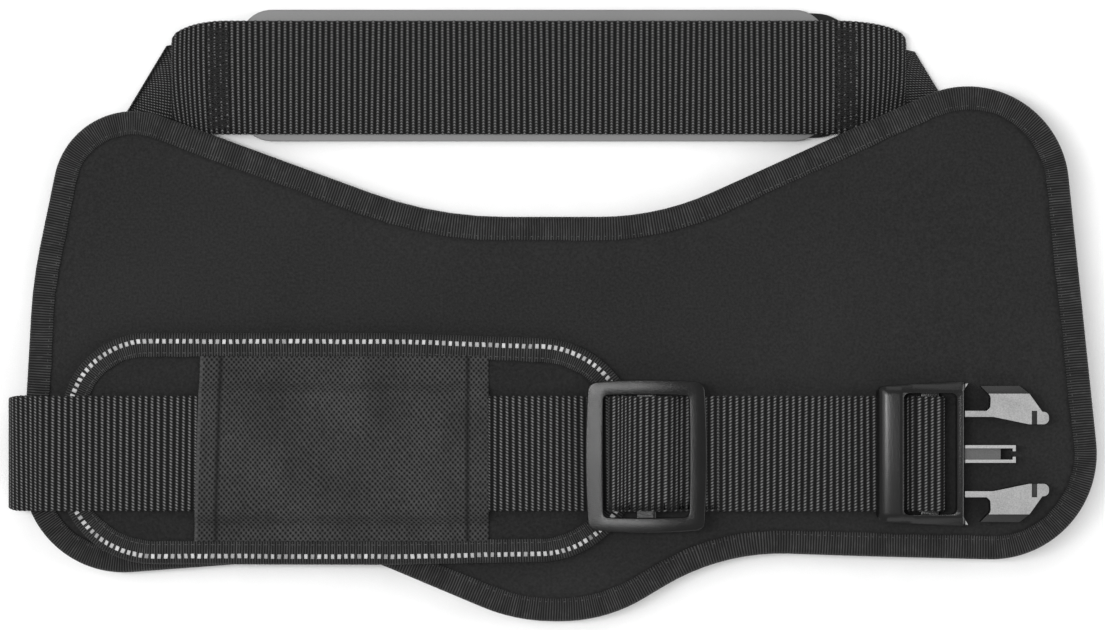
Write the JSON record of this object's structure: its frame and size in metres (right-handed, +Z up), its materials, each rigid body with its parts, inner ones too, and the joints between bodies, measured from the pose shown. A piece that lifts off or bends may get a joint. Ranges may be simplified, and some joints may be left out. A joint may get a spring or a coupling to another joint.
{
  "type": "dog saddle harness",
  "caption": "Padded dog saddle harness laid flat, lining side up: belly strap with side-release buckle and slide adjuster, sliding belly pad, reflective chest band, leash ring.",
  "frame": {"origin": "middle of the overall length and width, on the surface the harness lies on", "axes": "+X across the back towards the right flap and the buckle's nose, +Y towards the chest band, +Z up out of the lining side"},
  "size_m": [0.473, 0.267, 0.0332],
  "materials": {
    "webbing": "black polyester webbing with raised cross ribs",
    "neoprene_lining": "smooth black knitted face over foam rubber, matt",
    "shell_fabric": "black coated oxford weave, matt",
    "foam": "closed-cell foam",
    "edge_tape": "black ribbed grosgrain tape",
    "reflective_film": "grey retro-reflective tape, satin",
    "sleeve_fabric": "coarse black ballistic weave",
    "loop_field": "brushed black loop tape",
    "moulded_plastic": "black acetal, fine grained, satin on the edges",
    "ring_metal": "zinc-plated welded wire",
    "thread": "black bonded thread"
  },
  "bodies": {
    "saddle": {"outer_shell": "shell_fabric", "saddle_foam": "foam", "saddle_lining": "neoprene_lining", "saddle_binding": "edge_tape", "label_field_left": "loop_field", "label_field_right": "loop_field", "cross_strap": "webbing", "strap_fold": "webbing", "grab_handle": "webbing", "ring_loop": "webbing", "cross_stitching": "thread", "handle_stitching": "thread", "socket_strap": "webbing", "chest_anchor_left": "webbing", "chest_anchor_right": "webbing"},
    "leash_ring": {"leash_ring": "ring_metal"},
    "socket": {"buckle_socket": "moulded_plastic"},
    "chest_band": {"chest_webbing": "webbing", "reflective_panel": "reflective_film", "reflective_backing": "shell_fabric", "chest_tack_left": "thread", "chest_tack_right": "thread"},
    "belly_strap": {"belly_webbing": "webbing", "loop_lower": "webbing"},
    "pad": {"pad_back": "neoprene_lining", "pad_foam": "foam", "pad_face": "neoprene_lining", "pad_binding": "edge_tape", "reflective_stripe": "reflective_film", "pad_sleeve": "sleeve_fabric"},
    "buckle": {"buckle_frame": "moulded_plastic", "buckle_wrap": "webbing", "loop_upper": "webbing"},
    "latch_upper": {"latch_arm_upper": "moulded_plastic"},
    "latch_lower": {"latch_arm_lower": "moulded_plastic"},
    "adjuster": {"adjuster_frame": "moulded_plastic", "strap_end": "webbing"}
  },
  "joints": [
    {"name": "belly_strap_swing", "type": "hinge", "parent": "saddle", "child": "belly_strap", "pos_m": [-0.233, -0.06, 0.015], "axis": [0, -1, 0], "range_deg": [0, 150], "deforming": ["strap_fold"]},
    {"name": "pad_slide", "type": "slide", "parent": "belly_strap", "child": "pad", "axis": [1, 0, 0], "range_m": [-0.008, 0.02]},
    {"name": "buckle_slide", "type": "slide", "parent": "belly_strap", "child": "buckle", "axis": [1, 0, 0], "range_m": [-0.009, 0.03], "deforming": ["loop_lower"]},
    {"name": "adjuster_slide", "type": "slide", "parent": "buckle", "child": "adjuster", "axis": [1, 0, 0], "range_m": [-0.009, 0.03], "deforming": ["loop_upper"]},
    {"name": "latch_upper_squeeze", "type": "hinge", "parent": "buckle", "child": "latch_upper", "pos_m": [0.178, -0.04265, 0.0282], "axis": [0, 0, -1], "range_deg": [0, 7], "stiffness_Nm_per_rad": 0.6},
    {"name": "latch_lower_squeeze", "type": "hinge", "parent": "buckle", "child": "latch_lower", "pos_m": [0.178, -0.07735, 0.0282], "axis": [0, 0, 1], "range_deg": [0, 7], "stiffness_Nm_per_rad": 0.6},
    {"name": "chest_band_lift", "type": "hinge", "parent": "saddle", "child": "chest_band", "pos_m": [-0.006, 0.093, 0.004], "axis": [1, 0, 0], "range_deg": [0, 60], "deforming": ["chest_anchor_left", "chest_anchor_right"]},
    {"name": "leash_ring_swing", "type": "hinge", "parent": "saddle", "child": "leash_ring", "pos_m": [0, -0.094, 0.0038], "axis": [1, 0, 0], "range_deg": [0, 110]},
    {"name": "socket_swing", "type": "hinge", "parent": "saddle", "child": "socket", "pos_m": [0.1285, -0.06, 0.00595], "axis": [0, 1, 0], "range_deg": [0, 40]}
  ],
  "couplings": [
    {"joint": "adjuster_slide", "follows": "buckle_slide", "ratio": 1}
  ]
}
